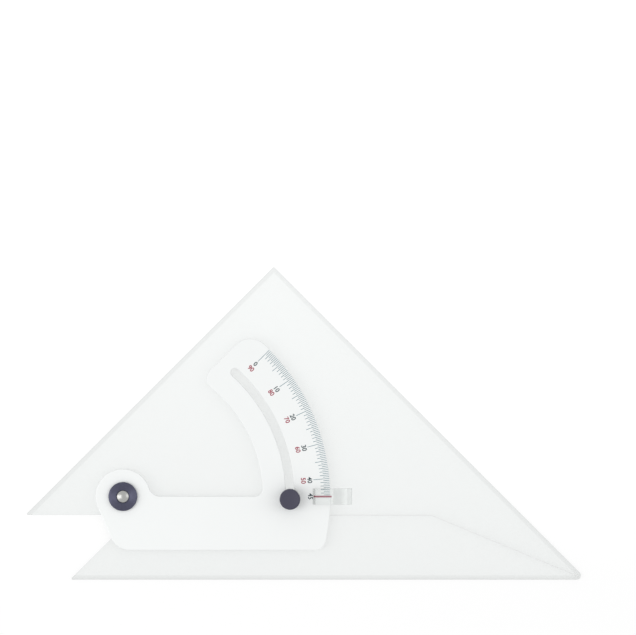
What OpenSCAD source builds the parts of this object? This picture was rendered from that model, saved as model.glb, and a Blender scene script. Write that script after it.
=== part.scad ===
// Adjustable set square: a clear triangular plate that swings on a clear base blade.
// Millimetres. The origin is on the pivot axis at the underside of the plates, +X runs to the
// right along the ruling edge, +Y towards the apex and +Z up. The square is drawn closed, at 45.

/* [Set square plate] */
// Length of the left ruling leg, from the left tip to the apex
left_leg = 204.6; // [190:0.1:225]
// Distance from the left tip to the pivot, along the plate's bottom edge
tip_to_pivot = 57; // [52:0.5:62]
// Height of the pivot above the plate's bottom edge
pivot_rise = 10.9; // [9:0.1:12.5]
// Thickness of the plate and of the blade
plate_t = 3; // [2.6:0.1:4.5]
// Width of the bevel along each ruling edge
bevel_w = 2.6; // [1.5:0.1:5]
// Height of the upright ruling edge under the bevel
edge_h = 1.6; // [0.8:0.1:2.2]
// Radius of the rounded right-hand tip
tip_r = 2.4; // [1.8:0.1:6]
// Width of the flat on each of the other tips, which keeps them from being needle sharp
tip_flat = 0.8; // [0.3:0.1:1.5]

/* [Base blade] */
// Width of the blade, from its top edge to its ruling edge
blade_w = 37.5; // [34:0.1:44]
// Gap between the blade and the plate when the square is closed
seam_gap = 0.2; // [0.15:0.05:0.8]
// Room left between the blade's cut end and the plate when the square is fully open
cut_clear = 1.6; // [0.6:0.1:3]

/* [Scale arm] */
// Thickness of the arm
arm_t = 2; // [1.5:0.1:3.5]
// Gap between the plate and the underside of the arm, filled by the spacer over the blade
arm_gap = 0.3; // [0.2:0.05:0.6]
// Outer radius of the arm's arc, where the scale is read
scale_r = 120.8; // [112:0.1:126]
// Width of the arc band, from its inner to its outer radius
band_w = 39.4; // [35:0.1:44]
// Distance from the arm's outer arc in to the middle of the slot
slot_inset = 23.6; // [19:0.1:26]
// Radius of the lug round the pivot
lug_r = 15.9; // [12:0.1:18]
// Distance from the pivot down to the arm's bottom edge
arm_drop = 31.2; // [28:0.1:34]
// Lean of the arm's left side from upright
heel_lean = 23.4; // [15:0.1:30]
// Radius of the web between the lug and the bar's top edge
lug_web_r = 7.2; // [3:0.1:10]
// Radius of the corner between the bar's top edge and the arc's inner edge
recess_r = 4.7; // [2:0.1:10]
// Radius of the arm's upper corner on the inner arc
end_in_r = 7; // [3:0.1:10]
// Radius of the arm's upper corner on the outer arc
end_out_r = 11.7; // [4:0.1:13]
// Radius of the arm's lower right corner
toe_r = 5.8; // [3:0.1:12]
// Radius of the arm's lower left corner
heel_r = 11.7; // [4:0.1:13]

/* [Graduations] */
// Thickness of the printed marks
ink_t = 0.05; // [0.03:0.01:0.1]
// Width of a printed mark
mark_w = 0.25; // [0.15:0.01:0.4]
// Margin between the marks and the arm's outer edge
mark_margin = 0.35; // [0.2:0.05:1]
// Length of a half-degree mark
half_mark = 3.5; // [2.5:0.1:4]
// Length of a one-degree mark
degree_mark = 5.3; // [4.5:0.1:6]
// Length of a five-degree mark
five_mark = 7; // [6.2:0.1:8]
// Length of a ten-degree mark
ten_mark = 9.3; // [8.2:0.1:11]

/* [Pivot] */
// Radius of the rivet's shank
rivet_r = 2.5; // [2:0.1:2.8]
// Radius of the rivet's flat head under the plate
rivet_foot_r = 4.6; // [4.3:0.1:5.5]
// Thickness of that flat head
rivet_foot_t = 0.8; // [0.6:0.1:1]
// Radius of the rivet's domed head
dome_r = 3.45; // [3.2:0.05:3.9]
// Height of the dome above its edge
dome_h = 1.1; // [0.6:0.1:2]
// Height of the domed head's upright edge
dome_edge = 0.5; // [0.3:0.1:1]
// Wall of the bearing bush in the plate
bush_wall = 0.85; // [0.6:0.05:1.2]
// Radius of the slip washer between plate and arm
slip_r = 9; // [7:0.1:10]
// Outer radius of the dark collar
collar_r = 8.4; // [7:0.1:10]
// Height of the dark collar
collar_h = 2; // [1.8:0.1:4]
// Radius of the collar's rounded rim
collar_rim_r = 0.7; // [0.3:0.1:1.2]
// Depth of the recess in the collar's top
collar_recess = 0.8; // [0.3:0.1:1.2]

/* [Clamp] */
// Angle by which the stud lags below the zero line of the arm when the square is closed
stud_lag = 0.8; // [0:0.1:1.5]
// Radius of the clamp stud
stud_r = 2; // [1.5:0.1:2.2]
// Radius of the stud's countersunk head
stud_head_r = 4; // [3.2:0.1:4.8]
// Side room between the stud and the walls of the arc slot
slot_room = 0.5; // [0.4:0.05:0.8]
// Angle by which the slot runs on past the stud when the square is closed
spare_closed = 2; // [1.6:0.1:2.4]
// Angle by which the slot runs on past the stud when the square is fully open
spare_open = 3.7; // [1.6:0.1:4]
// Thickness of the washer under the knob
washer_t = 0.5; // [0.4:0.1:1]
// Radius of the washer under the knob
washer_r = 5.6; // [4.8:0.1:6.5]
// Radius of the knob
knob_r = 6; // [5.3:0.1:8]
// Height of the knob
knob_h = 7.4; // [6.6:0.1:12]
// Radius of the knob's rounded top rim
knob_rim_r = 0.6; // [0.3:0.1:1]
// Thickness of the knob's closed top
knob_roof = 1.4; // [1:0.1:2.5]
// Depth of the knob's grip flutes
flute_depth = 0.3; // [0.15:0.05:0.5]
// Number of grip flutes
flute_count = 36; // [24:1:48]
// Wall of the brass insert
insert_wall = 1.2; // [0.8:0.1:1.8]
// Height by which one turn lifts the knob
thread_pitch = 0.7; // [0.5:0.05:1]

/* [Index tab] */
// Width of the tab across the hairline
tab_w = 9.3; // [6:0.1:14]
// Reach of the tongue in over the arm's outer edge
tongue_reach = 10.4; // [9.8:0.1:14]
// Thickness of the tongue
tongue_t = 2.4; // [1.6:0.1:4]
// Gap between the printed scale and the tongue
tongue_gap = 0.3; // [0.2:0.05:0.6]
// Length of the bevel on the tongue's end
tongue_bevel = 1.6; // [1:0.1:4]
// Side gap between the arm's outer edge and the tab's foot
foot_gap = 1.2; // [0.6:0.1:2.5]
// Length of the foot that is cemented to the plate
foot_l = 11.3; // [8:0.1:16]
// Length of the bevel on the foot's outer end
foot_bevel = 3; // [1:0.1:5]
// Width of the red hairline
line_w = 0.9; // [0.3:0.1:1.4]
// Bare end of the tongue in front of the hairline
line_margin = 1; // [0.4:0.1:3]
// Depth of the groove that holds the hairline's colour
line_t = 0.1; // [0.05:0.01:0.2]

/* [Fits] */
// Radial clearance of a turning or sliding fit
run_fit = 0.05; // [0.02:0.01:0.1]
// Air between faces that pass over each other
slide_gap = 0.05; // [0.03:0.01:0.1]
// Depth at which the flush heads sit above the underside
head_sink = 0.2; // [0.1:0.05:0.4]
// Room round and above the rivet's flat head
foot_room = 0.2; // [0.15:0.05:0.4]

/* [Hidden] */
$fn = 96;

// The legs rise at this angle from the ruling edge when closed, and the square swings as far.
LEG_ANGLE = 45;
HALF_TIP = LEG_ANGLE / 2;
// Marks per degree on the scale
MARKS_PER_DEGREE = 2;
// How far a cutter or a buried end runs past the face that it meets
PAST = 1;
// A rounding's circle is larger than a tangent one by this, so that it crosses both its edges
BLEND = 0.002;

// Direction of the left leg, and corners of the closed set square
leg_dir = [cos(LEG_ANGLE), sin(LEG_ANGLE)];
left_tip = [-tip_to_pivot, -pivot_rise];
apex = left_tip + left_leg * leg_dir;
base_y = -pivot_rise - seam_gap - blade_w;
corner = [apex.x + (apex.y - base_y) / tan(LEG_ANGLE), base_y];

// The seam runs level, then bisects the right-hand tip
seam_dir = [-cos(HALF_TIP), sin(HALF_TIP)];
seam_side = [sin(HALF_TIP), cos(HALF_TIP)];
blade_top = -pivot_rise - seam_gap;
cut_off = (pivot_rise + cut_clear) / sin(LEG_ANGLE);
tip_centre = corner + tip_r / sin(HALF_TIP) * seam_dir;

// Levels, from the underside up
arm_z = plate_t + arm_gap;
arm_top = arm_z + arm_t;
tongue_z = arm_top + ink_t + tongue_gap;
tab_top = tongue_z + tongue_t;
collar_top = arm_top + collar_h;
dome_z = collar_top - collar_recess;
washer_z = arm_top + slide_gap;
knob_z = washer_z + washer_t;
insert_h = knob_h - knob_roof;
// the stud stops a pitch short of the roof, so that it stays in its thread
stud_top = knob_z + insert_h - thread_pitch;

// Radii from the pivot
band_in_r = scale_r - band_w;
slot_r = scale_r - slot_inset;
mark_r = scale_r - mark_margin;
slot_w = 2 * (stud_r + slot_room);
bush_in_r = rivet_r + run_fit;
bush_r = bush_in_r + bush_wall;
pocket_r = rivet_foot_r + 2 * foot_room;
pocket_h = head_sink + rivet_foot_t + foot_room;
// the countersink rises at 45 degrees to the stud's shank
sink_h = stud_head_r - stud_r;
shim_r = stud_head_r + slot_room;
insert_in_r = stud_r + run_fit;
insert_r = insert_in_r + insert_wall;
stud_place = slot_r * [cos(stud_lag), -sin(stud_lag)];

// The arm's left side leaves the lug along a line square to this direction
heel_out = [-cos(heel_lean), -sin(heel_lean)];
heel_line = lug_r - BLEND;
heel_x = (arm_drop * sin(heel_lean) - heel_line) / cos(heel_lean);

function along(v, r) = r * v / norm(v);
// The point of the seam line, set off to one side, that lies at height y
function seam_at(y, off) = let (
    foot = corner + off * seam_side,
    run = (y - foot.y) / seam_dir.y
) foot + run * seam_dir;

// Where the seam's upper (side 1) or lower (side -1) wall runs out at the right-hand corner
function seam_end(side) =
    corner + seam_gap / 2 * (side * seam_side + seam_dir / tan(HALF_TIP));

// The two ends of the flat that breaks a sharp tip between sides that leave it along u and v
function broken_tip(tip, u, v) = let (run = tip_flat / norm(u - v)) [tip + run * u, tip + run * v];

// The sliver between a corner and its rounding: a polygon on the centre, less the circle
module corner_sliver(c, r, pts) {
    difference() {
        polygon(concat([c], pts));
        translate(c) circle(r = r + BLEND);
    }
}

// What lies above the slope of a ruling edge that runs from p to q, with the plate on its left
module bevel_cut(p, q) {
    run = q - p;
    translate([p.x, p.y, edge_h])
        rotate([0, 0, atan2(run.y, run.x)])
            rotate([atan2(plate_t - edge_h, bevel_w), 0, 0])
                translate([-plate_t - bevel_w, -2 * bevel_w, 0])
                    cube([norm(run) + 2 * (plate_t + bevel_w), 5 * bevel_w, 2 * plate_t]);
}

// What the rounding takes off the shared right-hand tip
module tip_sliver() {
    corner_sliver(tip_centre, tip_r, [
        tip_centre - [0, tip_r + PAST],
        corner + [tip_r, -PAST],
        tip_centre + (tip_r + PAST) * [sin(LEG_ANGLE), cos(LEG_ANGLE)]
    ]);
}

module set_square() {
    color([0.93, 0.95, 0.94, 0.5])
    difference() {
        linear_extrude(plate_t) difference() {
            polygon(concat(
                broken_tip(left_tip, leg_dir, [1, 0]),
                [seam_at(-pivot_rise, seam_gap / 2), seam_end(1)],
                broken_tip(apex, [leg_dir.x, -leg_dir.y], -leg_dir)
            ));
            tip_sliver();
        }
        bevel_cut(apex, left_tip);
        bevel_cut(corner, apex);
        // pocket for the rivet's flat head, and the bore that the bush is pressed into
        translate([0, 0, -PAST]) cylinder(r = pocket_r, h = pocket_h + PAST);
        cylinder(r = bush_r, h = plate_t + PAST);
        clamp_hole();
    }
}

// Countersunk hole for the clamp stud
module clamp_hole() {
    translate([stud_place.x, stud_place.y, 0]) {
        translate([0, 0, -PAST]) cylinder(r = stud_head_r, h = head_sink + PAST);
        translate([0, 0, head_sink]) cylinder(r1 = stud_head_r, r2 = stud_r, h = sink_h);
        cylinder(r = stud_r, h = plate_t + PAST);
    }
}

module blade_outline() {
    difference() {
        polygon(concat(
            broken_tip([base_y + cut_off, base_y], leg_dir, [1, 0]),
            [seam_end(-1), seam_at(blade_top, -seam_gap / 2), [blade_top + cut_off, blade_top]]
        ));
        tip_sliver();
    }
}

module base_blade() {
    color([0.92, 0.94, 0.93, 0.5])
    difference() {
        linear_extrude(plate_t) blade_outline();
        bevel_cut([base_y + cut_off, base_y], corner);
    }
}

// Lug, bar and arc band in one outline, with every corner rounded by a true arc
module arm_outline() {
    far = scale_r + lug_r;
    lug_web = [sqrt(pow(lug_r + lug_web_r, 2) - pow(lug_web_r, 2)), lug_web_r];
    recess = [sqrt(pow(band_in_r - recess_r, 2) - pow(recess_r, 2)), recess_r];
    end_in = [sqrt(pow(band_in_r + end_in_r, 2) - pow(lug_r - end_in_r, 2)), lug_r - end_in_r];
    end_out = [sqrt(pow(scale_r - end_out_r, 2) - pow(lug_r - end_out_r, 2)), lug_r - end_out_r];
    toe = [sqrt(pow(scale_r - toe_r, 2) - pow(arm_drop - toe_r, 2)), toe_r - arm_drop];
    heel_c_y = heel_r - arm_drop;
    heel = [(heel_line - heel_r - heel_out.y * heel_c_y) / heel_out.x, heel_c_y];

    difference() {
        union() {
            circle(r = lug_r);
            difference() {
                intersection() {
                    circle(r = scale_r);
                    // bounded by the left side, the bottom edge and the end line at 45 degrees
                    polygon([
                        heel_line * heel_out,
                        [heel_x, -arm_drop],
                        [far, -arm_drop],
                        [far, far],
                        far * leg_dir + lug_r * [-sin(LEG_ANGLE), cos(LEG_ANGLE)],
                        lug_r * [-sin(LEG_ANGLE), cos(LEG_ANGLE)]
                    ]);
                }
                // the open recess between the lug, the bar and the arc
                intersection() {
                    circle(r = band_in_r);
                    translate([-far, 0]) square([2 * far, far]);
                }
            }
            corner_sliver(lug_web, lug_web_r, [[0, 0], [0, -PAST], [lug_web.x, -PAST]]);
            corner_sliver(recess, recess_r,
                [[recess.x, -PAST], [band_in_r + PAST, -PAST], along(recess, band_in_r + PAST)]);
        }
        rotate(LEG_ANGLE) {
            corner_sliver(end_in, end_in_r, [
                along(end_in, band_in_r - PAST),
                [sqrt(pow(band_in_r, 2) - pow(lug_r, 2)) - 2 * PAST, lug_r + PAST],
                [end_in.x, lug_r + PAST]
            ]);
            corner_sliver(end_out, end_out_r, [
                [end_out.x, lug_r + PAST],
                [scale_r + PAST, lug_r + PAST],
                along(end_out, scale_r + PAST)
            ]);
        }
        corner_sliver(toe, toe_r,
            [along(toe, scale_r + PAST), [scale_r + PAST, -arm_drop - PAST], [toe.x, -arm_drop - PAST]]);
        corner_sliver(heel, heel_r, [
            [heel.x, -arm_drop - PAST],
            [heel_x - PAST, -arm_drop - PAST],
            heel + (heel_r + PAST) * heel_out
        ]);
    }
}

// A round-ended slot on an arc about the pivot
module arc_slot(r, w, from, to) {
    intersection() {
        difference() {
            circle(r = r + w / 2);
            circle(r = r - w / 2);
        }
        polygon([[0, 0], 2 * r * [cos(from), sin(from)], 2 * r * [cos(to), sin(to)]]);
    }
    for (a = [from, to]) rotate(a) translate([r, 0]) circle(r = w / 2 + BLEND);
}

module scale_arm() {
    color([0.98, 0.98, 0.98])
    translate([0, 0, arm_z]) linear_extrude(arm_t) difference() {
        arm_outline();
        circle(r = rivet_r);
        arc_slot(slot_r, slot_w, -stud_lag - spare_closed, LEG_ANGLE - stud_lag + spare_open);
    }
}

// Cement film between arm and blade, as far as the two overlap
module arm_spacer() {
    color([0.95, 0.95, 0.94])
    translate([0, 0, plate_t]) linear_extrude(arm_gap) intersection() {
        arm_outline();
        blade_outline();
    }
}

// The scale counts down from 45 on the arm's zero line to 0 at the upper end
function mark_length(step) =
    step % (10 * MARKS_PER_DEGREE) == 0 ? ten_mark :
    step % (5 * MARKS_PER_DEGREE) == 0 ? five_mark :
    step % MARKS_PER_DEGREE == 0 ? degree_mark : half_mark;

module scale_graduations() {
    color([0.16, 0.33, 0.38])
    for (step = [0 : LEG_ANGLE * MARKS_PER_DEGREE]) {
        mark = mark_length(step);
        rotate(LEG_ANGLE - step / MARKS_PER_DEGREE)
            translate([mark_r - mark, -mark_w / 2, arm_top])
                cube([mark, mark_w, ink_t]);
    }
}

module pivot_rivet() {
    ball_r = (pow(dome_r, 2) + pow(dome_h, 2)) / (2 * dome_h);
    color([0.67, 0.67, 0.66]) {
        translate([0, 0, head_sink]) cylinder(r = rivet_foot_r, h = rivet_foot_t);
        translate([0, 0, head_sink]) cylinder(r = rivet_r, h = dome_z + dome_edge / 2 - head_sink);
        translate([0, 0, dome_z]) intersection() {
            cylinder(r = dome_r, h = dome_edge + dome_h);
            translate([0, 0, dome_edge + dome_h - ball_r]) sphere(r = ball_r);
        }
    }
}

module pivot_collar() {
    recess_r = dome_r + 2 * foot_room;
    color([0.27, 0.27, 0.34])
    translate([0, 0, arm_top]) rotate_extrude() difference() {
        union() {
            translate([rivet_r, 0]) square([collar_r - rivet_r, collar_h - collar_rim_r]);
            translate([rivet_r, 0]) square([collar_r - collar_rim_r - rivet_r, collar_h]);
            translate([collar_r - collar_rim_r, collar_h - collar_rim_r]) circle(r = collar_rim_r);
        }
        translate([0, collar_h - collar_recess]) square([recess_r, collar_recess + PAST]);
    }
}

module ring(r_in, r_out, h) {
    difference() {
        cylinder(r = r_out, h = h);
        translate([0, 0, -PAST]) cylinder(r = r_in, h = h + 2 * PAST);
    }
}

module pivot_bush() {
    color([0.85, 0.84, 0.8])
    translate([0, 0, pocket_h]) ring(bush_in_r, bush_r, plate_t - pocket_h);
}

module pivot_washer() {
    color([0.9, 0.9, 0.88])
    translate([0, 0, plate_t]) ring(bush_in_r + foot_room, slip_r, arm_gap - slide_gap);
}

module clamp_stud() {
    color([0.7, 0.7, 0.69])
    translate([stud_place.x, stud_place.y, head_sink]) {
        cylinder(r1 = stud_head_r, r2 = stud_r, h = sink_h);
        cylinder(r = stud_r, h = stud_top - head_sink);
    }
}

module clamp_shim() {
    color([0.9, 0.9, 0.88])
    translate([stud_place.x, stud_place.y, plate_t]) ring(stud_r, shim_r, arm_gap - slide_gap);
}

module clamp_washer() {
    color([0.75, 0.75, 0.74])
    translate([stud_place.x, stud_place.y, washer_z]) ring(insert_in_r, washer_r, washer_t);
}

module clamp_knob() {
    color([0.3, 0.3, 0.36])
    translate([stud_place.x, stud_place.y, knob_z]) difference() {
        rotate_extrude() {
            square([knob_r, knob_h - knob_rim_r]);
            square([knob_r - knob_rim_r, knob_h]);
            translate([knob_r - knob_rim_r, knob_h - knob_rim_r]) intersection() {
                circle(r = knob_rim_r);
                square(knob_rim_r);
            }
        }
        translate([0, 0, -PAST]) cylinder(r = insert_r, h = insert_h + PAST);
        // the flutes stop short of the rim, so the knob's top is a plain disc
        for (i = [1 : flute_count]) rotate(i * 360 / flute_count)
            translate([knob_r + flute_depth / 2, 0, -PAST])
                cylinder(d = 3 * flute_depth, h = knob_h - 2 * knob_rim_r + PAST, $fn = 24);
    }
}

module knob_insert() {
    color([0.8, 0.65, 0.35])
    translate([stud_place.x, stud_place.y, knob_z]) ring(insert_in_r, insert_r, insert_h);
}

module index_tab() {
    tip = scale_r - tongue_reach;
    foot = scale_r + foot_gap;
    color([0.85, 0.87, 0.86, 0.6])
    difference() {
        rotate([90, 0, 0]) linear_extrude(tab_w, center = true) polygon([
            [tip, tongue_z],
            [tip, tongue_z + tongue_t / 4],
            [tip + tongue_bevel, tab_top],
            [foot + foot_l - foot_bevel, tab_top],
            [foot + foot_l, (tab_top + plate_t) / 2],
            [foot + foot_l, plate_t],
            [foot, plate_t],
            [foot, tongue_z]
        ]);
        hairline(line_t);
    }
}

// The hairline fills a groove in the tongue's underside, and runs out over the arm's edge
module hairline(h) {
    start = scale_r - tongue_reach + line_margin;
    translate([start, -line_w / 2, tongue_z]) cube([scale_r + foot_gap / 2 - start, line_w, h]);
}

module index_line() {
    color([0.75, 0.1, 0.2]) hairline(line_t);
}

base_blade();
arm_spacer();
scale_arm();
scale_graduations();
pivot_rivet();
pivot_collar();
set_square();
pivot_bush();
pivot_washer();
index_tab();
index_line();
clamp_stud();
clamp_shim();
clamp_washer();
clamp_knob();
knob_insert();
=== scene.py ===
import bmesh
import bpy
from math import asin, atan2, cos, degrees, hypot, pi, radians, sin
from mathutils import Matrix, Vector


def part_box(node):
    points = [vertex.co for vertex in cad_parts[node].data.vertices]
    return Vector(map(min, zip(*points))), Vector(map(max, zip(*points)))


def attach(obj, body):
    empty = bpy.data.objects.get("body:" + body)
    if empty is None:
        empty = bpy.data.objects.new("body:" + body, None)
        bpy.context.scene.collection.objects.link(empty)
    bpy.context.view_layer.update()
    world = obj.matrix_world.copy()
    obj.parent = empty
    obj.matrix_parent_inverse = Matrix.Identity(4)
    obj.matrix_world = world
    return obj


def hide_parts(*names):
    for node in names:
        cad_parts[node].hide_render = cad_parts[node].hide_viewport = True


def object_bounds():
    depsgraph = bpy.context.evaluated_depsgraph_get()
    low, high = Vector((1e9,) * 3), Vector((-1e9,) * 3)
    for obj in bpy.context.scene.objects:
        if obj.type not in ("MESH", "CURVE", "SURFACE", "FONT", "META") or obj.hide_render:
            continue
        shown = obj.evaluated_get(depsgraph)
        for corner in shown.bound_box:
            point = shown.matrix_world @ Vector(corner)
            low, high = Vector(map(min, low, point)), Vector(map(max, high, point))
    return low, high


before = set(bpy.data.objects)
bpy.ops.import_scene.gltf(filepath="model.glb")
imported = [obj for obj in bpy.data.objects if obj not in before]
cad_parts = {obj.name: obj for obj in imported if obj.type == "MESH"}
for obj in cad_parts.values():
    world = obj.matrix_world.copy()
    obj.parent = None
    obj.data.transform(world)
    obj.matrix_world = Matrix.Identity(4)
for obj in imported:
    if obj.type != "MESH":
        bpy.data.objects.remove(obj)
cad_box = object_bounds()


# ---- Set square plate ------------------------------------------------------------------------
# A triangle of clear cast acrylic, 3 mm thick. Its two ruling legs are planed to a bevel, and every
# edge is polished, which breaks it by 0.15 mm.
MM = 0.001
PLATE_EDGE = 0.15 * MM
PLATE_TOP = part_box("set_square")[1].z
SHARP_EDGE = 25
FLAT_WITHIN = 1
MERGED = 0.001 * MM
CLEAR = (0.885, 0.903, 0.896, 1)
LIGHT_THROUGH = [(0.2, 0.8), (0.9, 0.85), (0.995, 0.96)]
CAST_WAVES_PER_M = 24
CAST_WAVE_DEPTH = 0.02 * MM
WIPE_MARKS_PER_M = 900
TRAPPED_AFTER = 4


def mesh_piece(name, bm, smooth_up_to=None):
    """An object at the origin that holds this bmesh, shaded smooth below an angle in degrees."""
    mesh = bpy.data.meshes.new(name)
    for face in bm.faces:
        face.smooth = smooth_up_to is not None
    bm.to_mesh(mesh)
    bm.free()
    if smooth_up_to is not None:
        mesh.set_sharp_from_angle(angle=radians(smooth_up_to))
    piece = bpy.data.objects.new(name, mesh)
    bpy.context.scene.collection.objects.link(piece)
    return piece


def softened(node, name, width, segments, spared=None):
    """A copy of a CAD node with its sharp edges rounded, which stands for that node.

    The edges that lie in the box of another node, the spared one, stay sharp."""
    bm = bmesh.new()
    bm.from_mesh(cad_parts[node].data)
    bmesh.ops.remove_doubles(bm, verts=bm.verts, dist=MERGED)
    bmesh.ops.dissolve_limit(bm, angle_limit=radians(FLAT_WITHIN), verts=bm.verts, edges=bm.edges)
    shared = [e for e in bm.edges if len(e.link_faces) == 2]
    sharp = [e for e in shared if e.calc_face_angle() > radians(SHARP_EDGE)]
    if spared is not None:
        low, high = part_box(spared)
        slack = Vector((MERGED, MERGED, MERGED))
        box = list(zip(low - slack, high + slack))
        inside = {v for v in bm.verts if all(a <= c <= b for c, (a, b) in zip(v.co, box))}
        sharp = [e for e in sharp if not inside.issuperset(e.verts)]
    bmesh.ops.bevel(bm, geom=sharp, offset=width, offset_type="OFFSET", affect="EDGES",
                    segments=segments, profile=0.5, material=-1, clamp_overlap=False)
    piece = mesh_piece(name, bm)
    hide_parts(node)
    return piece


def wear(piece, mat):
    """Puts one material on a piece, or on a CAD node's object."""
    piece.data.materials.clear()
    piece.data.materials.append(mat)


def finish(name, color, roughness):
    """A node material, with its Principled shader and a texture position in metres."""
    mat = bpy.data.materials.new(name)
    mat.use_nodes = True
    tree = mat.node_tree
    shader = tree.nodes["Principled BSDF"]
    shader.inputs["Base Color"].default_value = color
    shader.inputs["Roughness"].default_value = roughness
    place = tree.nodes.new("ShaderNodeTexCoord")
    return mat, tree, shader, place.outputs["Object"]


def noise(tree, place, scale, detail, distortion=0.0):
    """A noise pattern, with so many features to the metre."""
    pattern = tree.nodes.new("ShaderNodeTexNoise")
    pattern.inputs["Scale"].default_value = scale
    pattern.inputs["Detail"].default_value = detail
    pattern.inputs["Distortion"].default_value = distortion
    tree.links.new(place, pattern.inputs["Vector"])
    return pattern.outputs["Fac"]


def spread(tree, value, low, high, from_low=0.3, from_high=0.7):
    """A value spread between two limits. A noise pattern mostly lies from 0.3 to 0.7."""
    ramp = tree.nodes.new("ShaderNodeMapRange")
    ramp.inputs["From Min"].default_value = from_low
    ramp.inputs["From Max"].default_value = from_high
    ramp.inputs["To Min"].default_value = low
    ramp.inputs["To Max"].default_value = high
    tree.links.new(value, ramp.inputs["Value"])
    return ramp.outputs["Result"]


def raised(tree, shader, height, depth):
    """Gives the shader a bump of this depth in metres."""
    bump = tree.nodes.new("ShaderNodeBump")
    bump.inputs["Strength"].default_value = 1.0
    bump.inputs["Distance"].default_value = depth
    tree.links.new(height, bump.inputs["Height"])
    tree.links.new(bump.outputs["Normal"], shader.inputs["Normal"])


def feed(tree, value, socket):
    """Links another node's output to a socket, or sets the socket to a plain value."""
    if isinstance(value, bpy.types.NodeSocket):
        tree.links.new(value, socket)
    else:
        socket.default_value = value


def calculated(tree, operation, first, second=0.0):
    """The result of a Math node's operation on two values."""
    step = tree.nodes.new("ShaderNodeMath")
    step.operation = operation
    feed(tree, first, step.inputs[0])
    feed(tree, second, step.inputs[1])
    return step.outputs[0]


def coordinate(tree, vector, axis):
    """A vector's X, Y or Z."""
    split = tree.nodes.new("ShaderNodeSeparateXYZ")
    tree.links.new(vector, split.inputs[0])
    return split.outputs[axis]


def shade_by(tree, value, stops):
    """A grey ramp of a value, from pairs of a place on the ramp and a shade."""
    ramp = tree.nodes.new("ShaderNodeValToRGB")
    elements = ramp.color_ramp.elements
    elements.remove(elements[1])
    elements[0].position = stops[0][0]
    for place, shade in stops[1:]:
        elements.new(place)
    for element, (place, shade) in zip(elements, stops):
        element.color = (shade, shade, shade, 1)
    tree.links.new(value, ramp.inputs[0])
    return ramp.outputs["Color"]


def mixed(tree, share, first, second, way="MIX"):
    """Two colours mixed, or combined in another way that the Mix node has."""
    mix = tree.nodes.new("ShaderNodeMix")
    mix.data_type = "RGBA"
    mix.blend_type = way
    feed(tree, share, mix.inputs[0])
    feed(tree, first, mix.inputs[6])
    feed(tree, second, mix.inputs[7])
    return mix.outputs[2]


def ray_is(tree, *kinds):
    """Tells with 1 or 0 whether the light's ray is of one of these kinds."""
    path = tree.nodes.new("ShaderNodeLightPath")
    total = path.outputs[kinds[0]]
    for kind in kinds[1:]:
        total = calculated(tree, "MAXIMUM", total, path.outputs[kind])
    return total


def two_shaders(tree, share, first, second):
    """Covers the surface with two shaders, by the share of the second one."""
    mix = tree.nodes.new("ShaderNodeMixShader")
    tree.links.new(share, mix.inputs[0])
    tree.links.new(first.outputs[0], mix.inputs[1])
    tree.links.new(second.outputs[0], mix.inputs[2])
    tree.links.new(mix.outputs[0], tree.nodes["Material Output"].inputs["Surface"])


def clear_acrylic(name, tint, by_slope, by_height, light_by_slope):
    """Cast acrylic with painted shade: by_slope and by_height darken the colour of its walls and
    bevels, where refraction leaves shade. Less light passes there too.

    Light that has been trapped between the faces for long goes straight out."""
    mat, tree, shader, place = finish(name, tint, 0.02)
    shader.inputs["Transmission Weight"].default_value = 1.0
    shader.inputs["IOR"].default_value = 1.49
    wipe = noise(tree, place, WIPE_MARKS_PER_M, detail=4.0, distortion=1.5)
    tree.links.new(spread(tree, wipe, 0.01, 0.05), shader.inputs["Roughness"])
    raised(tree, shader, noise(tree, place, CAST_WAVES_PER_M, detail=1.0), CAST_WAVE_DEPTH)

    # Painted shade: the colour darkens on walls and bevels by their slope, and across the bevel by
    # height.
    facing = tree.nodes.new("ShaderNodeTexCoord").outputs["Normal"]
    slope = calculated(tree, "ABSOLUTE", coordinate(tree, facing, "Z"))
    height = spread(tree, coordinate(tree, place, "Z"), 0, 1, 0, PLATE_TOP)
    painted_slope_shade = shade_by(tree, slope, by_slope)
    painted_height_shade = shade_by(tree, height, by_height)
    edges = mixed(tree, 1, painted_slope_shade, painted_height_shade, "MULTIPLY")
    tree.links.new(mixed(tree, 1, tint, edges, "MULTIPLY"), shader.inputs["Base Color"])

    depth = tree.nodes.new("ShaderNodeLightPath").outputs["Ray Depth"]
    trapped = calculated(tree, "GREATER_THAN", depth, TRAPPED_AFTER)
    lighting = ray_is(tree, "Is Shadow Ray", "Is Diffuse Ray")
    through = tree.nodes.new("ShaderNodeBsdfTransparent")
    tree.links.new(shade_by(tree, slope, light_by_slope), through.inputs["Color"])
    two_shaders(tree, calculated(tree, "MAXIMUM", lighting, trapped), shader, through)
    return mat


plate_acrylic = clear_acrylic(
    "clear_acrylic",
    CLEAR,
    # Painted shade on the plate's walls and bevels, lighter towards the top face.
    by_slope=[(0.3, 0.7), (0.84, 0.7), (0.865, 0.92), (0.9, 0.92), (0.99, 1)],
    by_height=[(0.03, 1), (0.06, 0.92), (0.53, 0.92), (0.75, 0.945), (0.96, 0.975), (0.99, 1)],
    light_by_slope=LIGHT_THROUGH,
)
plate = softened("set_square", "plate", PLATE_EDGE, 2)
wear(plate, plate_acrylic)
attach(plate, "square")


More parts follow.
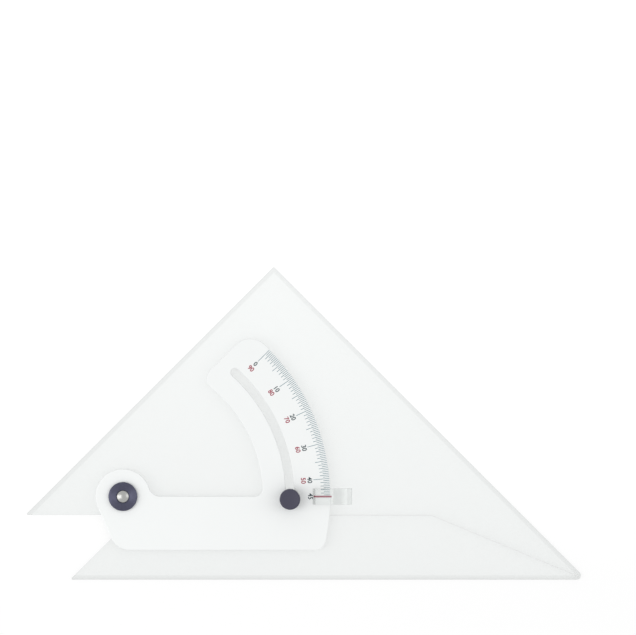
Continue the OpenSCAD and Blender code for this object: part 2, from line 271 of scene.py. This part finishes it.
# ---- Base blade ------------------------------------------------------------------------------
# The lower part of the square, sawn from the plate's sheet, with a bevel on its long lower edge and
# a left end that is cut to clear the plate when that swings up. Its sawn walls carry a deeper
# painted shade than the plate's.
blade_acrylic = clear_acrylic(
    "blade_acrylic",
    CLEAR,
    # Painted shade on the blade's walls and bevel, deeper on the walls than the plate's.
    by_slope=[(0.3, 0.36), (0.84, 0.36), (0.865, 0.92), (0.9, 0.92), (0.99, 1)],
    by_height=[(0.03, 1), (0.06, 0.86), (0.53, 0.86), (0.56, 0.87), (0.75, 0.94), (0.96, 0.98),
               (0.99, 1)],
    light_by_slope=LIGHT_THROUGH,
)
blade = softened("base_blade", "blade", PLATE_EDGE, 2)
wear(blade, blade_acrylic)
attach(blade, "blade")


# ---- Pivot bush and slip washers -------------------------------------------------------------
# A natural nylon sleeve is pressed into the plate as the bearing, and thin nylon washers lie
# between plate and arm at the pivot and at the clamp. Each is punched or turned from stock.
CLOUDS_PER_M = 1200
CLOUD_DEPTH = 0.01 * MM
nylon, tree, shader, place = finish("natural_nylon", (0.82, 0.81, 0.76, 1), 0.45)
clouds = noise(tree, place, CLOUDS_PER_M, detail=3.0)
tree.links.new(spread(tree, clouds, 0.38, 0.55), shader.inputs["Roughness"])
raised(tree, shader, clouds, CLOUD_DEPTH)
shader.inputs["Subsurface Weight"].default_value = 0.15
shader.inputs["Subsurface Radius"].default_value = (0.001, 0.001, 0.0008)
for node in ("pivot_bush", "pivot_washer", "clamp_shim"):
    wear(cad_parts[node], nylon)


# ---- Spacer ----------------------------------------------------------------------------------
# A film of white cement bonds the arm to the blade and lifts it clear of the plate.
# It sets with small bubbles and a dull, slightly uneven face.
BUBBLES_PER_M = 700
BUBBLE_DEPTH = 0.03 * MM
cement, tree, shader, place = finish("cement_film", (0.86, 0.86, 0.84, 1), 0.7)
bubbles = tree.nodes.new("ShaderNodeTexVoronoi")
bubbles.inputs["Scale"].default_value = BUBBLES_PER_M
tree.links.new(place, bubbles.inputs["Vector"])
raised(tree, shader, bubbles.outputs["Distance"], BUBBLE_DEPTH)
wear(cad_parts["arm_spacer"], cement)


# ---- Scale arm -------------------------------------------------------------------------------
# Lug, bar and arc band in one, routed from 2 mm opaque white sheet. The face is satin with the
# fine pebble of extruded sheet, and the routed edge is eased to a soft round.
ARM_EDGE = 0.4 * MM
PEBBLES_PER_M = 2600
PEBBLE_DEPTH = 0.008 * MM
DRIFTS_PER_M = 35
white, tree, shader, place = finish("white_sheet", (0.925, 0.944, 0.939, 1), 0.35)
pebble = noise(tree, place, PEBBLES_PER_M, detail=2.0)
drift = noise(tree, place, DRIFTS_PER_M, detail=2.0)
tint = mixed(tree, drift, (0.918, 0.938, 0.933, 1), (0.932, 0.95, 0.945, 1))
tree.links.new(tint, shader.inputs["Base Color"])
tree.links.new(spread(tree, pebble, 0.3, 0.42), shader.inputs["Roughness"])
raised(tree, shader, pebble, PEBBLE_DEPTH)
arm = softened("scale_arm", "arm", ARM_EDGE, 3)
wear(arm, white)
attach(arm, "blade")


# ---- Graduations and figures -----------------------------------------------------------------
# Half-degree marks are screen printed along the arc in dark teal. The angle from the base is
# printed in a darker teal, and the angle from the other leg in red, further in.
INK = 0.05 * MM
MOTTLES_PER_M = 5000
MOTTLE_GAIN = 1.25
MOTTLE_LIFT = 0.01
FIGURE_HEIGHT = 2.7 * MM
FIGURE_WIDTH = 0.95
FIGURE_BOLDER = 0.018
FIGURE_CURVE_STEPS = 4
DARK_FIGURES_AT = 109.15 * MM
RED_FIGURES_AT = 105.4 * MM
DARK_FIGURES = {0: 45, 10: 35, 20: 25, 30: 15, 40: 5, 45: 0}
RED_FIGURES = {90: 45, 80: 35, 70: 25, 60: 15, 50: 5}


def printing_ink(name, color):
    """A thin, slightly mottled film of ink."""
    mat, tree, shader, place = finish(name, color, 0.5)
    mottle = spread(tree, noise(tree, place, MOTTLES_PER_M, detail=2.0), 0, 1)
    paler = [min(1, c * MOTTLE_GAIN + MOTTLE_LIFT) for c in color[:3]] + [1]
    tree.links.new(mixed(tree, mottle, color, paler), shader.inputs["Base Color"])
    return mat


def as_mesh(holder):
    """The mesh that a text makes, or that an object has after its modifiers."""
    bpy.context.view_layer.update()
    made = holder.evaluated_get(bpy.context.evaluated_depsgraph_get())
    return bpy.data.meshes.new_from_object(made)


def printed_figures(name, figures, radius, ink):
    """Figures along the arc, which stand outward and read clockwise, in one piece."""
    arm_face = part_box("scale_arm")[1].z
    bm = bmesh.new()
    for value, angle in figures.items():
        text = bpy.data.curves.new(name, "FONT")
        text.body = str(value)
        text.align_x = "CENTER"
        text.extrude = INK / 2
        text.offset = FIGURE_BOLDER
        text.resolution_u = FIGURE_CURVE_STEPS
        holder = bpy.data.objects.new(name, text)
        bpy.context.scene.collection.objects.link(holder)
        mesh = as_mesh(holder)
        bpy.data.objects.remove(holder)
        size = FIGURE_HEIGHT / max(v.co.y for v in mesh.vertices)
        shape = Matrix.Diagonal((size * FIGURE_WIDTH, size, 1, 1))
        seat = Matrix.Translation((0, radius - FIGURE_HEIGHT / 2, arm_face + INK / 2))
        turn = Matrix.Rotation(radians(angle - 90), 4, "Z")
        mesh.transform(turn @ seat @ shape)
        bm.from_mesh(mesh)
        bpy.data.meshes.remove(mesh)
    bmesh.ops.remove_doubles(bm, verts=bm.verts, dist=MERGED)
    piece = mesh_piece(name, bm)
    wear(piece, ink)
    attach(piece, "blade")
    return piece


dark_ink = printing_ink("dark_ink", (0.012, 0.035, 0.045, 1))
mark_ink = printing_ink("mark_ink", (0.03, 0.13, 0.17, 1))
red_ink = printing_ink("red_ink", (0.3, 0.012, 0.045, 1))
wear(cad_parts["scale_graduations"], mark_ink)
printed_figures("figures_dark", DARK_FIGURES, DARK_FIGURES_AT, dark_ink)
printed_figures("figures_red", RED_FIGURES, RED_FIGURES_AT, red_ink)


# ---- Pivot rivet -----------------------------------------------------------------------------
# A steel rivet holds arm and plate together: a flat foot sunk in the plate, a plain shank, and a
# polished domed head that shows in the collar. It is turned, then its head is formed and buffed.
RIVET_SHANK = 2.5 * MM
RIVET_FOOT = 4.6 * MM
FOOT_THICK = 0.8 * MM
DOME_HEIGHT = 1.1 * MM
DOME_EDGE = 0.5 * MM
DOME_RADIUS = 3.45 * MM
BROKEN_EDGE = 0.12 * MM
SPIN_MERGED = 0.0001 * MM
TURNED_SMOOTH = 35
SMEARS_PER_M = 900


def arc(centre, radius, start, end, steps):
    """Points of a profile's round stretch, from one angle to another."""
    turns = [radians(start + (end - start) * i / steps) for i in range(steps + 1)]
    return [(centre[0] + radius * cos(t), centre[1] + radius * sin(t)) for t in turns]


def turned(name, profile, steps, closed, at=(0, 0)):
    """A piece turned on a lathe from a profile of radii and heights, on an upright axis."""
    bm = bmesh.new()
    line = [bm.verts.new((radius, 0, height)) for radius, height in profile]
    ends = line[1:] + line[:1] if closed else line[1:]
    edges = [bm.edges.new(pair) for pair in zip(line, ends)]
    bmesh.ops.spin(bm, geom=line + edges, axis=(0, 0, 1), cent=(0, 0, 0), angle=2 * pi,
                   steps=steps, use_merge=True)
    bmesh.ops.remove_doubles(bm, verts=bm.verts, dist=SPIN_MERGED)
    bmesh.ops.recalc_face_normals(bm, faces=bm.faces)
    bmesh.ops.translate(bm, verts=bm.verts, vec=(at[0], at[1], 0))
    return mesh_piece(name, bm, TURNED_SMOOTH)


def turned_metal(name, color, roughness, groove_pitch, groove_depth, at=(0, 0)):
    """Metal with the fine rings that a lathe tool leaves about the axis."""
    mat, tree, shader, place = finish(name, color, roughness)
    shader.inputs["Metallic"].default_value = 1.0
    centred = tree.nodes.new("ShaderNodeMapping")
    centred.inputs["Location"].default_value = (-at[0], -at[1], 0)
    tree.links.new(place, centred.inputs["Vector"])
    rings = tree.nodes.new("ShaderNodeTexWave")
    rings.wave_type = "RINGS"
    rings.rings_direction = "Z"
    # At a scale of 1 the rings of a Wave Texture stand pi / 10 metres apart.
    rings.inputs["Scale"].default_value = pi / 10 / groove_pitch
    rings.inputs["Distortion"].default_value = 0.4
    rings.inputs["Detail"].default_value = 2.0
    tree.links.new(centred.outputs[0], rings.inputs["Vector"])
    raised(tree, shader, rings.outputs["Fac"], groove_depth)
    smear = noise(tree, centred.outputs[0], SMEARS_PER_M, detail=3.0, distortion=1.0)
    tree.links.new(spread(tree, smear, roughness * 0.8, roughness * 1.3), shader.inputs["Roughness"])
    return mat


rivet_low, rivet_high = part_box("pivot_rivet")
ball = (DOME_RADIUS ** 2 + DOME_HEIGHT ** 2) / (2 * DOME_HEIGHT)
lean = 90 - degrees(asin(DOME_RADIUS / ball))
dome_edge_top = rivet_high.z - DOME_HEIGHT
foot_top = rivet_low.z + FOOT_THICK
rivet = turned("rivet", [
    (0, rivet_low.z),
    *arc((RIVET_FOOT - BROKEN_EDGE, rivet_low.z + BROKEN_EDGE), BROKEN_EDGE, -90, 0, 3),
    *arc((RIVET_FOOT - BROKEN_EDGE, foot_top - BROKEN_EDGE), BROKEN_EDGE, 0, 90, 3),
    (RIVET_SHANK, foot_top),
    (RIVET_SHANK, dome_edge_top - DOME_EDGE),
    (DOME_RADIUS, dome_edge_top - DOME_EDGE),
    *arc((0, rivet_high.z - ball), ball, lean, 90, 24),
], steps=96, closed=False)
steel = turned_metal("polished_steel", (0.4, 0.4, 0.388, 1), 0.27, 0.35 * MM, 0.003 * MM)
wear(rivet, steel)
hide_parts("pivot_rivet")
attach(rivet, "blade")


# ---- Pivot collar ----------------------------------------------------------------------------
# A turned aluminium collar, anodised dark slate, stands on the lug round the rivet's head. The
# tool's rings make its face shine in two opposite sectors. A recess in it takes the rivet's head.
COLLAR_RIM = 0.7 * MM
RECESS_RADIUS = 3.85 * MM
RECESS_DEPTH = 0.8 * MM
COLLAR_FOOT_GROOVE = 0.25 * MM
collar_low, collar_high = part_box("pivot_collar")
collar_r = collar_high.x
collar = turned("collar", [
    (RIVET_SHANK, collar_low.z),
    (collar_r - COLLAR_FOOT_GROOVE, collar_low.z),
    (collar_r - COLLAR_FOOT_GROOVE, collar_low.z + COLLAR_FOOT_GROOVE),
    (collar_r, collar_low.z + 2 * COLLAR_FOOT_GROOVE),
    *arc((collar_r - COLLAR_RIM, collar_high.z - COLLAR_RIM), COLLAR_RIM, 0, 90, 8),
    *arc((RECESS_RADIUS + BROKEN_EDGE, collar_high.z - BROKEN_EDGE), BROKEN_EDGE, 90, 180, 3),
    (RECESS_RADIUS, collar_high.z - RECESS_DEPTH),
    (RIVET_SHANK, collar_high.z - RECESS_DEPTH),
], steps=128, closed=True)
anodised = turned_metal("slate_anodised", (0.092, 0.093, 0.136, 1), 0.42, 0.5 * MM, 0.006 * MM)
tree = anodised.node_tree
shader = tree.nodes["Principled BSDF"]
shader.inputs["Anisotropic"].default_value = 0.9
shader.inputs["Anisotropic Rotation"].default_value = 0.25
tangent = tree.nodes.new("ShaderNodeTangent")
tangent.direction_type = "RADIAL"
tangent.axis = "Z"
tree.links.new(tangent.outputs[0], shader.inputs["Tangent"])
wear(collar, anodised)
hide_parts("pivot_collar")
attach(collar, "blade")


# ---- Index tab and hairline ------------------------------------------------------------------
# A stepped block of clear acrylic, cemented to the plate beyond the arm. Its tongue reaches in
# over the scale, and a red line filled into the tongue's underside reads it.
TAB_EDGE = 0.2 * MM
TAB_CEMENT = 0.03 * MM
TAB_CLEAR = (0.97, 0.985, 0.978, 1)
FOOT_DARKER_FROM = 11.2 * MM
FOOT_DARKER_TO = 4.0 * MM
tab = softened("index_tab", "tab", TAB_EDGE, 2, spared="index_line")
for vertex in tab.data.vertices:
    vertex.co.z = max(vertex.co.z, PLATE_TOP + TAB_CEMENT)
tab_acrylic = clear_acrylic(
    "tab_acrylic",
    TAB_CLEAR,
    # Painted shade on the tab's walls.
    by_slope=[(0.3, 0.5), (0.7, 0.6), (0.8, 0.97), (0.99, 1)],
    by_height=[(0.5, 1), (0.99, 1)],
    light_by_slope=[(0.2, 0.8), (0.92, 0.85), (0.995, 0.97)],
)
tree = tab_acrylic.node_tree
shader = tree.nodes["Principled BSDF"]
# The tab's colour is made darker across the inner part of its foot.
tab_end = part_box("index_tab")[1].x
across = coordinate(tree, tree.nodes.new("ShaderNodeTexCoord").outputs["Object"], "X")
foot_darker_place = spread(tree, across, 0, 1, tab_end - FOOT_DARKER_FROM, tab_end - FOOT_DARKER_TO)
foot_darker = shade_by(tree, foot_darker_place, [(0, 1), (0.04, 0.87), (0.6, 0.87), (1, 1)])
clear = shader.inputs["Base Color"].links[0].from_socket
tree.links.new(mixed(tree, 1, clear, foot_darker, "MULTIPLY"), shader.inputs["Base Color"])
wear(tab, tab_acrylic)
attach(tab, "square")
wear(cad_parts["index_line"], printing_ink("hairline_red", (0.38, 0.13, 0.17, 1)))


# ---- Clamp stud and washer -------------------------------------------------------------------
# A steel stud with a slotted countersunk head sits flush in the plate's underside and rises
# through the arm's slot. A plain steel washer lies on the arm under the knob.
STUD_R = 2.0 * MM
STUD_HEAD_R = 4.0 * MM
STUD_TIP = 0.24 * MM
DRIVER_SLOT = 0.9 * MM
DRIVER_SLOT_DEPTH = 0.8 * MM
DRIVER_SLOT_TURN = 20
CUTTER_LENGTH = 12 * MM
stud_low, stud_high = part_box("clamp_stud")
stud_axis = ((stud_low.x + stud_high.x) / 2, (stud_low.y + stud_high.y) / 2)
stud = turned("stud", [
    (0, stud_low.z),
    (STUD_HEAD_R, stud_low.z),
    (STUD_R, stud_low.z + STUD_HEAD_R - STUD_R),
    (STUD_R, stud_high.z - STUD_TIP),
    (STUD_R - STUD_TIP, stud_high.z),
    (0, stud_high.z),
], steps=64, closed=False, at=stud_axis)
bm = bmesh.new()
bmesh.ops.create_cube(bm, size=1)
bmesh.ops.scale(bm, verts=bm.verts, vec=(CUTTER_LENGTH, DRIVER_SLOT, 2 * DRIVER_SLOT_DEPTH))
slot_turn = Matrix.Rotation(radians(DRIVER_SLOT_TURN), 3, "Z")
bmesh.ops.rotate(bm, verts=bm.verts, cent=(0, 0, 0), matrix=slot_turn)
bmesh.ops.translate(bm, verts=bm.verts, vec=(*stud_axis, stud_low.z))
cutter = mesh_piece("cutter", bm)
cut = stud.modifiers.new("driver_slot", "BOOLEAN")
cut.operation = "DIFFERENCE"
cut.solver = "EXACT"
cut.object = cutter
slotted = as_mesh(stud)
stud.modifiers.clear()
stud.data = slotted
bpy.data.objects.remove(cutter)
stud_steel = turned_metal("stud_steel", (0.6, 0.6, 0.585, 1), 0.25, 0.3 * MM, 0.006 * MM, stud_axis)
wear(stud, stud_steel)
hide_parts("clamp_stud")
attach(stud, "square")
wear(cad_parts["clamp_washer"], stud_steel)


# ---- Clamp knob ------------------------------------------------------------------------------
# A small round knob moulded in matt slate plastic over a brass insert. Fine upright flutes run
# round its side for grip and stop short of its rounded rim. Its flat top is sunk by a hair.
KNOB_RIM = 0.6 * MM
KNOB_FOOT_EDGE = 0.24 * MM
TOP_RIM_TO = 0.96 * MM
TOP_FACE_FROM = 1.14 * MM
TOP_FACE_SUNK = 0.05 * MM
FLUTES = 36
STEPS_PER_FLUTE = 8
FLUTE_DEPTH = 0.3 * MM
FLUTE_REACH = 0.36 * MM
FLUTE_FADE = 0.8 * MM
GRAINS_PER_M = 3200
GRAIN_DEPTH = 0.01 * MM
insert_low, insert_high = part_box("knob_insert")
insert_r = (insert_high.x - insert_low.x) / 2
knob_low, knob_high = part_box("clamp_knob")
knob_r = (knob_high.x - knob_low.x) / 2
flute_top = knob_high.z - 2 * KNOB_RIM
knob = turned("knob", [
    (0, insert_high.z),
    (insert_r, insert_high.z),
    (insert_r, knob_low.z),
    (knob_r - KNOB_FOOT_EDGE, knob_low.z),
    (knob_r, knob_low.z + KNOB_FOOT_EDGE),
    (knob_r, flute_top - FLUTE_FADE),
    (knob_r, flute_top - FLUTE_FADE / 2),
    (knob_r, flute_top),
    *arc((knob_r - KNOB_RIM, knob_high.z - KNOB_RIM), KNOB_RIM, 0, 90, 6),
    (knob_r - TOP_RIM_TO, knob_high.z),
    (knob_r - TOP_FACE_FROM, knob_high.z - TOP_FACE_SUNK),
    (0, knob_high.z - TOP_FACE_SUNK),
], steps=FLUTES * STEPS_PER_FLUTE, closed=False)
for vertex in knob.data.vertices:
    reach = hypot(vertex.co.x, vertex.co.y)
    fade = min(1, max(0, (flute_top - vertex.co.z) / FLUTE_FADE))
    if reach > knob_r - FLUTE_REACH and fade > 0:
        hollow = (1 + cos(FLUTES * atan2(vertex.co.y, vertex.co.x))) / 2
        scale = 1 - FLUTE_DEPTH * fade * hollow ** 2 / knob_r
        vertex.co.x *= scale
        vertex.co.y *= scale
knob.data.transform(Matrix.Translation((*stud_axis, 0)))
slate, tree, shader, place = finish("slate_plastic", (0.044, 0.042, 0.072, 1), 0.42)
grain = noise(tree, place, GRAINS_PER_M, detail=3.0)
tree.links.new(spread(tree, grain, 0.36, 0.5), shader.inputs["Roughness"])
raised(tree, shader, grain, GRAIN_DEPTH)
wear(knob, slate)
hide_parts("clamp_knob")
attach(knob, "knob")
brass = turned_metal("turned_brass", (0.72, 0.53, 0.24, 1), 0.22, 0.3 * MM, 0.005 * MM, stud_axis)
wear(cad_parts["knob_insert"], brass)


# ---- Table, lamps and camera -----------------------------------------------------------------
# The square lies on a white sheet of board, which glows to looking rays, brighter towards the top:
# a painted light falloff. A large soft box stands on the left and a weaker one on the right, in a
# pale room. The camera looks straight down, and is not part of the square.
FLOOR_DROP = 0.05 * MM
FLOOR_SIZE = 8.0
ROOM_LIGHT = 0.73
BOARD_GLOW = 0.68
PAINTED_GLOW_AT_TOP = 1.201
PAINTED_GLOW_AT_BOTTOM = 1.077
LOOKING_RAYS = ("Is Camera Ray", "Is Glossy Ray", "Is Transmission Ray")
PIXEL = 0.58333 * MM
IMAGE_WIDTH = 636
PIVOT_PIXEL = (123.5, 496.0)
IMAGE_CENTRE = (318.0, 317.5)
CAMERA_HEIGHT = 2.0
FILM = 36.0

room = bpy.data.worlds.new("room")
bpy.context.scene.world = room
room.use_nodes = True
tree = room.node_tree
sky = tree.nodes["Background"]
sky.inputs["Color"].default_value = (1, 1, 1, 1)
to_white = calculated(tree, "MULTIPLY", ray_is(tree, *LOOKING_RAYS), 1 - ROOM_LIGHT)
tree.links.new(calculated(tree, "ADD", to_white, ROOM_LIGHT), sky.inputs["Strength"])

board, tree, shader, place = finish("white_board", (0.86, 0.86, 0.86, 1), 0.8)
shader.inputs["Specular IOR Level"].default_value = 0.1
glow = tree.nodes.new("ShaderNodeEmission")
# Painted light: the board's glow fades from the top of the picture to its bottom.
up_board = coordinate(tree, place, "Y")
light = spread(tree, up_board, PAINTED_GLOW_AT_BOTTOM, PAINTED_GLOW_AT_TOP, cad_box[0].y, cad_box[1].y)
tree.links.new(light, glow.inputs["Strength"])
glow_share = calculated(tree, "MULTIPLY", ray_is(tree, *LOOKING_RAYS), BOARD_GLOW)
two_shaders(tree, glow_share, shader, glow)
bm = bmesh.new()
bmesh.ops.create_grid(bm, x_segments=1, y_segments=1, size=FLOOR_SIZE / 2)
bmesh.ops.translate(bm, verts=bm.verts, vec=(0, 0, -FLOOR_DROP))
floor = mesh_piece("floor", bm)
wear(floor, board)

middle_x = (IMAGE_CENTRE[0] - PIVOT_PIXEL[0]) * PIXEL
middle_y = (PIVOT_PIXEL[1] - IMAGE_CENTRE[1]) * PIXEL
middle = Vector((middle_x, middle_y, 0))


def soft_box(name, place, size, radiance):
    """A rectangular lamp that faces the middle of the picture, with an even face."""
    lamp = bpy.data.lights.new(name, "AREA")
    lamp.shape = "RECTANGLE"
    lamp.size = size[0]
    lamp.size_y = size[1]
    lamp.energy = radiance * pi * size[0] * size[1]
    stand = bpy.data.objects.new(name, lamp)
    stand.location = middle + Vector(place)
    stand.rotation_euler = (-Vector(place)).to_track_quat("-Z", "Y").to_euler()
    bpy.context.scene.collection.objects.link(stand)


soft_box("left_box", place=(-1.1, -0.2, 1.0), size=(0.9, 1.4), radiance=1.75)
soft_box("right_box", place=(1.2, 0.1, 0.9), size=(0.8, 1.2), radiance=0.95)

camera = bpy.data.objects.new("camera", bpy.data.cameras.new("camera"))
camera.data.sensor_width = FILM
camera.data.lens = CAMERA_HEIGHT * FILM / (IMAGE_WIDTH * PIXEL)
camera.data.clip_end = 100
camera.location = middle + Vector((0, 0, CAMERA_HEIGHT))
bpy.context.scene.collection.objects.link(camera)
bpy.context.scene.camera = camera
bpy.context.scene.view_settings.view_transform = "Standard"
